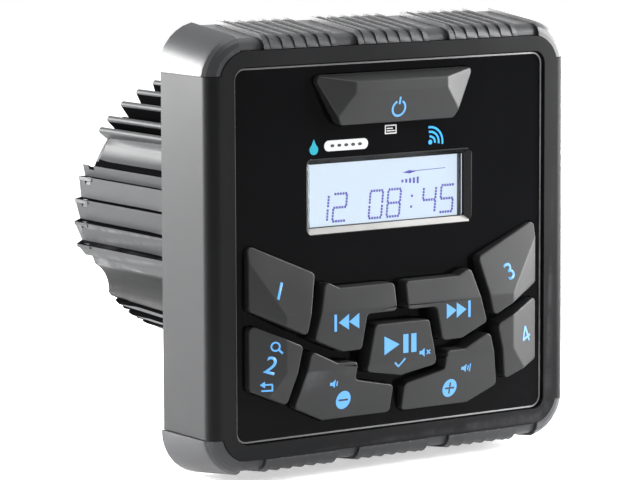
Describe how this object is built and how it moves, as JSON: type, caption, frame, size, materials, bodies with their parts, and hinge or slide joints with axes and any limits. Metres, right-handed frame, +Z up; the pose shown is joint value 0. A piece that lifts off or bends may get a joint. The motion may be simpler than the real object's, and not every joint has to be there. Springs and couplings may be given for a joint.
{
  "type": "marine stereo",
  "caption": "Square-faced marine radio receiver with display, sloping keys, ribbed grips and a finned round body that goes through a round dash hole",
  "frame": {"origin": "on the axis of the round body, in the plane of the square front's rear face", "axes": "X to the right seen from the front, Y along the round body into the dash, Z up"},
  "size_m": [0.1124, 0.1139, 0.1144],
  "materials": {
    "frame_plastic": "fine satin grain",
    "grip_plastic": "fine satin grain",
    "panel_gloss": "polished",
    "surround_gloss": "polished",
    "key_plastic": "satin",
    "window_clear": "clear",
    "display_glass": "lit from behind",
    "light_guide": "milky",
    "white_plastic": "moulded",
    "silicone": "matt",
    "black_rubber": "matt",
    "board": "lacquered",
    "chip_plastic": "matt",
    "connector_plastic": "moulded",
    "steel": "plain",
    "shield_steel": "tinned",
    "cast_housing": "die-cast, dark grey",
    "cover_plastic": "moulded",
    "gland_rubber": "matt",
    "cable_white": "smooth",
    "heat_pad": "soft",
    "capacitor_sleeve": "shrunk sleeve",
    "copper_wire": "lacquered wire"
  },
  "bodies": {
    "receiver": {"bezel_frame": "frame_plastic", "top_grip": "grip_plastic", "bottom_grip": "grip_plastic", "front_panel": "panel_gloss", "panel_seal": "black_rubber", "display_surround": "surround_gloss", "display_window": "window_clear", "lcd_glass": "display_glass", "backlight": "light_guide", "lcd_holder": "white_plastic", "key_mat": "silicone", "tact_switches": "shield_steel", "key_lights": "light_guide", "front_board": "board", "front_connector": "connector_plastic", "processor_chip": "chip_plastic", "board_screws": "steel", "panel_screws": "steel", "dash_gasket": "black_rubber", "rear_housing": "cast_housing", "body_seal": "black_rubber", "body_screws": "steel", "main_board": "board", "main_connector": "connector_plastic", "flat_cable": "cable_white", "amplifier_chip": "chip_plastic", "thermal_pad": "heat_pad", "amplifier_clamp": "steel", "clamp_screw": "steel", "filter_capacitors": "capacitor_sleeve", "power_coil": "copper_wire", "tuner_module": "shield_steel", "wireless_module": "shield_steel", "signal_chip": "chip_plastic", "harness_header": "connector_plastic", "rear_cover": "cover_plastic", "cover_seal": "black_rubber", "cover_screws": "steel", "harness_gland": "gland_rubber", "aux_gland": "gland_rubber", "antenna_socket": "cover_plastic", "antenna_nut": "steel", "bracket_studs": "steel"},
    "power_button": {"power_key": "key_plastic"},
    "source_button": {"source_key": "key_plastic"},
    "band_button": {"band_key": "key_plastic"},
    "previous_button": {"previous_key": "key_plastic"},
    "next_button": {"next_key": "key_plastic"},
    "play_button": {"play_key": "key_plastic"},
    "volume_down_button": {"volume_down_key": "key_plastic"},
    "volume_up_button": {"volume_up_key": "key_plastic"},
    "preset_button": {"preset_key": "key_plastic"},
    "audio_button": {"audio_key": "key_plastic"}
  },
  "joints": [
    {"name": "power_press", "type": "slide", "parent": "receiver", "child": "power_button", "axis": [0, 1, 0], "range_m": [0, 0.0006], "stiffness_N_per_m": 1500},
    {"name": "source_press", "type": "slide", "parent": "receiver", "child": "source_button", "axis": [0, 1, 0], "range_m": [0, 0.0006], "stiffness_N_per_m": 1500},
    {"name": "band_press", "type": "slide", "parent": "receiver", "child": "band_button", "axis": [0, 1, 0], "range_m": [0, 0.0006], "stiffness_N_per_m": 1500},
    {"name": "previous_press", "type": "slide", "parent": "receiver", "child": "previous_button", "axis": [0, 1, 0], "range_m": [0, 0.0006], "stiffness_N_per_m": 1500},
    {"name": "next_press", "type": "slide", "parent": "receiver", "child": "next_button", "axis": [0, 1, 0], "range_m": [0, 0.0006], "stiffness_N_per_m": 1500},
    {"name": "play_press", "type": "slide", "parent": "receiver", "child": "play_button", "axis": [0, 1, 0], "range_m": [0, 0.0006], "stiffness_N_per_m": 1500},
    {"name": "volume_down_press", "type": "slide", "parent": "receiver", "child": "volume_down_button", "axis": [0, 1, 0], "range_m": [0, 0.0006], "stiffness_N_per_m": 1500},
    {"name": "volume_up_press", "type": "slide", "parent": "receiver", "child": "volume_up_button", "axis": [0, 1, 0], "range_m": [0, 0.0006], "stiffness_N_per_m": 1500},
    {"name": "preset_press", "type": "slide", "parent": "receiver", "child": "preset_button", "axis": [0, 1, 0], "range_m": [0, 0.0006], "stiffness_N_per_m": 1500},
    {"name": "audio_press", "type": "slide", "parent": "receiver", "child": "audio_button", "axis": [0, 1, 0], "range_m": [0, 0.0006], "stiffness_N_per_m": 1500}
  ]
}
